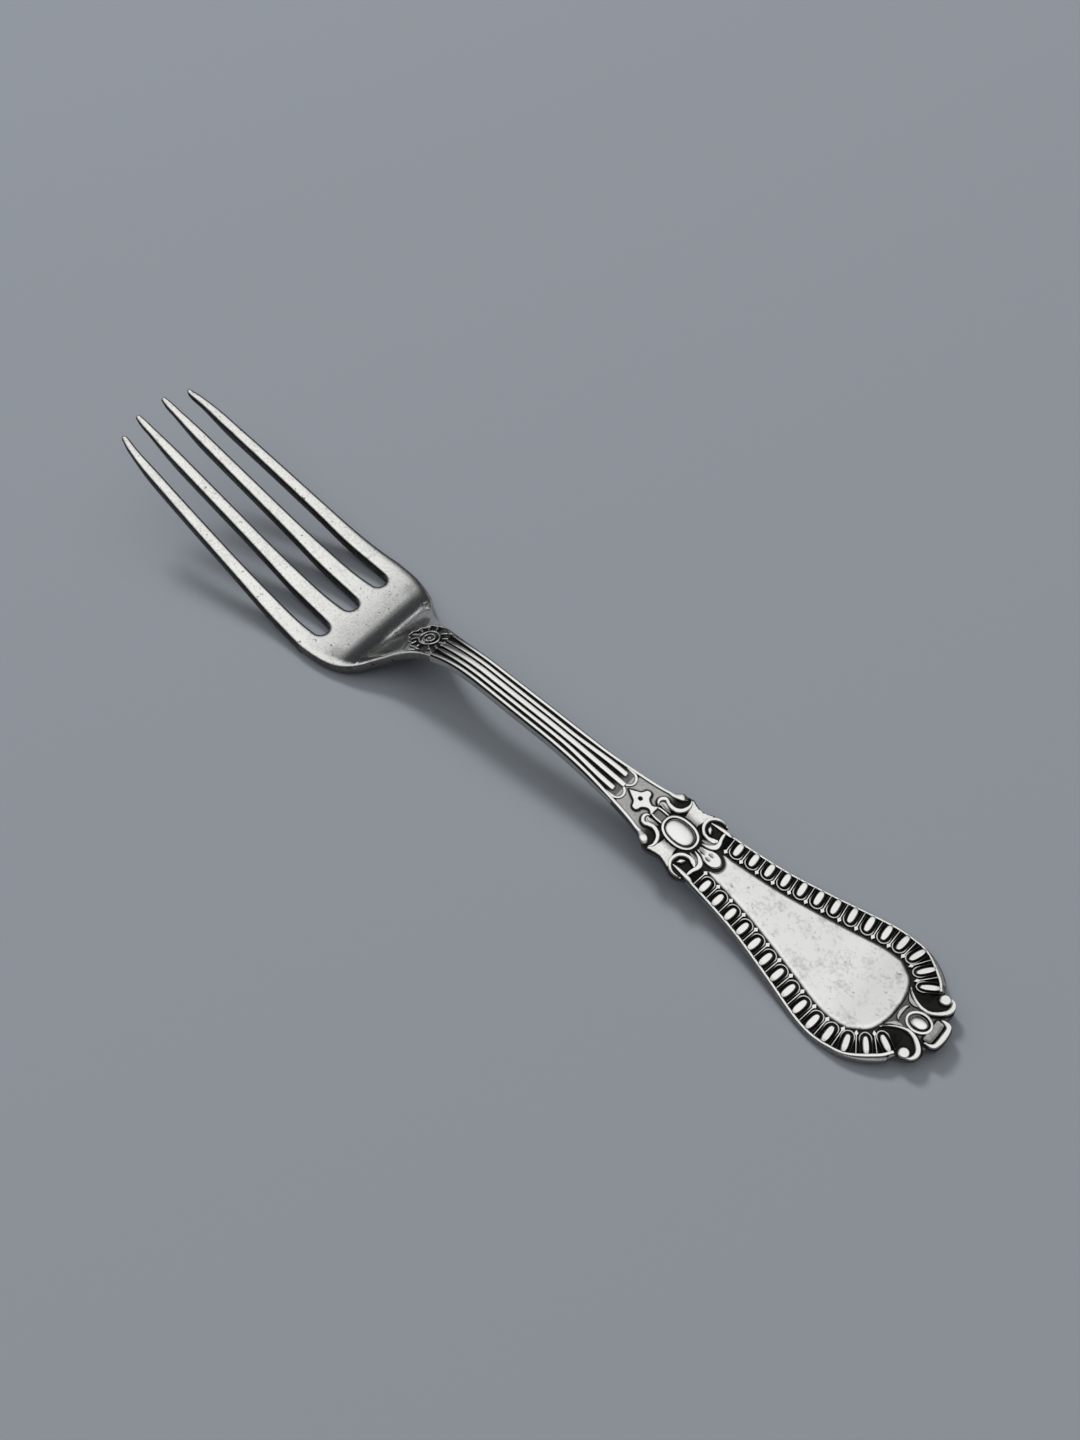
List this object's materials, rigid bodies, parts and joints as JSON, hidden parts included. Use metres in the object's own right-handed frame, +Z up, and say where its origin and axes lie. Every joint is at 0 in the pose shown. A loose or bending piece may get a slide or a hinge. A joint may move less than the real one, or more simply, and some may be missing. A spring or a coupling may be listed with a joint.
{
  "type": "dinner fork",
  "caption": "Traditional silver dinner fork with slender tines, a reeded stem, a scrolled collar, an egg-and-dart handle border and a bare oval panel",
  "frame": {"origin": "centre of the fork's box at the height of the table it lies on, tines curving up", "axes": "+X runs along the fork to the tips of the tines, +Y across it, +Z up from the table"},
  "size_m": [0.203, 0.029, 0.0221],
  "materials": {
    "polished_silver": "old sterling silver, worn bright, with fine scratches",
    "satin_silver": "old sterling silver, soft grey where hands do not polish it",
    "oxidised_silver": "sterling silver with dark tarnish in the ground of the ornament"
  },
  "bodies": {
    "root": {"outer_left_tine": "polished_silver", "inner_left_tine": "polished_silver", "inner_right_tine": "polished_silver", "outer_right_tine": "polished_silver", "tine_root": "polished_silver", "neck": "satin_silver", "stem": "oxidised_silver", "collar": "oxidised_silver", "handle_blade": "oxidised_silver", "end_plate": "oxidised_silver", "neck_rosette": "polished_silver", "edge_threads": "polished_silver", "stem_reeds": "polished_silver", "center_band": "polished_silver", "fleur": "polished_silver", "upper_scrolls": "polished_silver", "oval_ring": "polished_silver", "oval_boss": "polished_silver", "side_straps": "satin_silver", "lower_scrolls": "polished_silver", "petal": "polished_silver", "border_stops": "polished_silver", "handle_rim": "polished_silver", "egg_border": "polished_silver", "egg_outlines": "satin_silver", "dart_border": "satin_silver", "panel_field": "polished_silver", "end_scrolls": "polished_silver", "end_brackets": "satin_silver", "end_ring": "polished_silver", "end_boss": "polished_silver", "end_tab": "polished_silver"}
  },
  "joints": []
}
